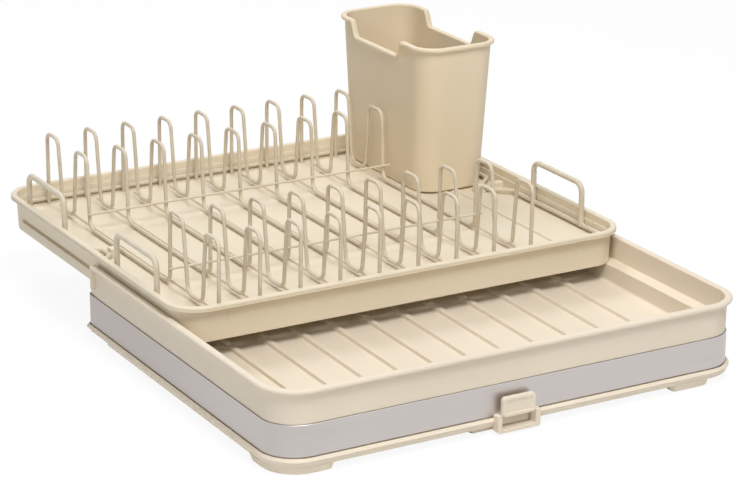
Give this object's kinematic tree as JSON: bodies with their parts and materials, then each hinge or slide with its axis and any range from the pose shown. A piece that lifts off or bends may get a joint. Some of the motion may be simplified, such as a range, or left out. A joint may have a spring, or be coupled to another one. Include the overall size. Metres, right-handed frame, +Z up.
{
  "type": "expandable dish drainer",
  "caption": "Two-level dish drainer: a base tray with a drain spout, an upper tray that slides out on its ledges, a wire plate rack and a cutlery holder.",
  "frame": {"origin": "middle of the footprint, on the surface it stands on, with the upper tray pulled out", "axes": "+Z up, +Y towards the back, the way the upper tray slides out, +X to the right seen from the front"},
  "size_m": [0.4382, 0.5444, 0.206],
  "materials": {
    "cream_plastic": "fine matte moulded plastic",
    "coated_wire": "satin coated steel wire",
    "brushed_band": "brushed along its length",
    "pad_rubber": "matte soft pad"
  },
  "bodies": {
    "base": {"base_tray": "cream_plastic", "bottom_frame": "cream_plastic", "steel_band": "brushed_band", "foot_pad_1": "pad_rubber", "foot_pad_2": "pad_rubber", "foot_pad_3": "pad_rubber", "foot_pad_4": "pad_rubber", "drain_spout": "cream_plastic"},
    "gate": {"drain_gate": "cream_plastic"},
    "tray": {"slide_tray": "cream_plastic", "rack_catch_left": "cream_plastic", "rack_catch_right": "cream_plastic"},
    "rack": {"rack_frame_front": "coated_wire", "rack_frame_back": "coated_wire", "rack_frame_left": "coated_wire", "rack_frame_right": "coated_wire", "plate_wire_1": "coated_wire", "plate_wire_2": "coated_wire", "plate_wire_3": "coated_wire", "plate_wire_4": "coated_wire", "plate_wire_5": "coated_wire", "plate_wire_6": "coated_wire", "plate_wire_7": "coated_wire", "plate_wire_8": "coated_wire", "plate_wire_9": "coated_wire", "cross_wire_back": "coated_wire", "cross_wire_front": "coated_wire", "handle_back_left": "coated_wire", "handle_back_right": "coated_wire", "handle_front_left": "coated_wire", "handle_front_right": "coated_wire"},
    "holder": {"utensil_holder": "cream_plastic"}
  },
  "joints": [
    {"name": "tray_slide", "type": "slide", "parent": "base", "child": "tray", "axis": [0, 1, 0], "range_m": [-0.165, 0]},
    {"name": "gate_lift", "type": "slide", "parent": "base", "child": "gate", "axis": [0, 0, 1], "range_m": [-0.01, 0]},
    {"name": "rack_lift", "type": "slide", "parent": "tray", "child": "rack", "axis": [0, 0, 1], "range_m": [0, 0.1]},
    {"name": "holder_lift", "type": "slide", "parent": "rack", "child": "holder", "axis": [0, 0, 1], "range_m": [0, 0.15]}
  ]
}
